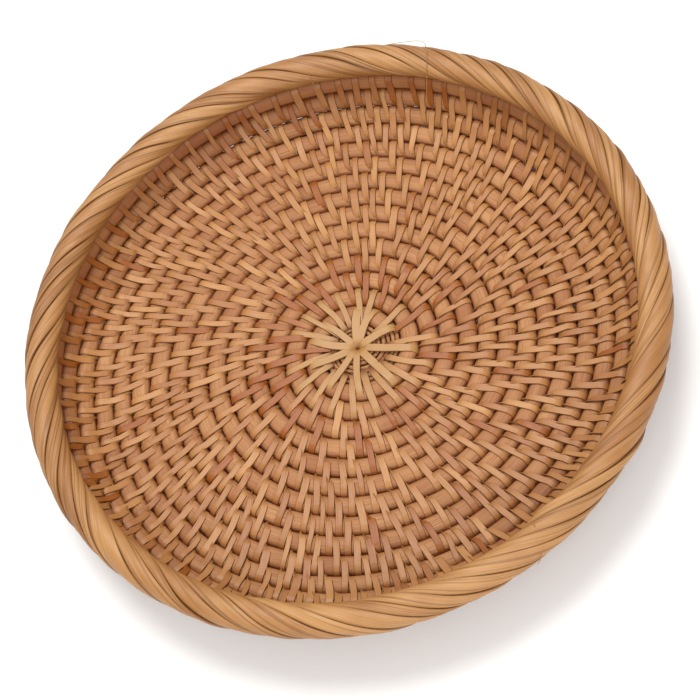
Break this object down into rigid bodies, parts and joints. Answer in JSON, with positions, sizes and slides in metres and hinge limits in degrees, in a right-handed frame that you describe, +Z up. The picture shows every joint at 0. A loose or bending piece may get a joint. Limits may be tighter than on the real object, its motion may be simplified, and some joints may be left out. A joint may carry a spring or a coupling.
{
  "type": "winnowing basket",
  "caption": "Shallow round winnowing basket: a round cane coil sewn with flat binder cane, with a low flared wall and a strip-wrapped hoop rim.",
  "frame": {"origin": "on the surface that the basket stands on, under the centre of the rim hoop", "axes": "+Z up, out of the basket's open side; +X from the hoop's centre towards the side where the coil's rounds are counted"},
  "size_m": [0.2418, 0.2414, 0.0347],
  "materials": {
    "round_cane": "dry, slightly fibrous round cane",
    "binder_cane": "satin peel of the cane, flat binder",
    "hoop_cane": "plain split cane, hidden under the wrap",
    "peel_wrap": "satin peel strips wound diagonally"
  },
  "bodies": {
    "root": {"cane_length_1": "round_cane", "cane_length_2": "round_cane", "cane_length_3": "round_cane", "cane_length_4": "round_cane", "cane_length_5": "round_cane", "cane_length_6": "round_cane", "cane_length_7": "round_cane", "cane_tail": "round_cane", "hub_rays": "binder_cane", "hub_strands": "round_cane", "rim_hoop": "hoop_cane", "rim_wrap_1": "peel_wrap", "rim_wrap_2": "peel_wrap", "rim_wrap_3": "peel_wrap", "rim_wrap_4": "peel_wrap", "rim_wrap_5": "peel_wrap", "rim_wrap_6": "peel_wrap", "rim_wrap_7": "peel_wrap", "rim_wrap_8": "peel_wrap", "rim_wrap_9": "peel_wrap", "stitch_round_02": "binder_cane", "stitch_round_03": "binder_cane", "stitch_round_04": "binder_cane", "stitch_round_05": "binder_cane", "stitch_round_06": "binder_cane", "stitch_round_07": "binder_cane", "stitch_round_08": "binder_cane", "stitch_round_09": "binder_cane", "stitch_round_10": "binder_cane", "stitch_round_11": "binder_cane", "stitch_round_12": "binder_cane", "stitch_round_13": "binder_cane", "stitch_round_14": "binder_cane", "stitch_round_15": "binder_cane"}
  },
  "joints": []
}
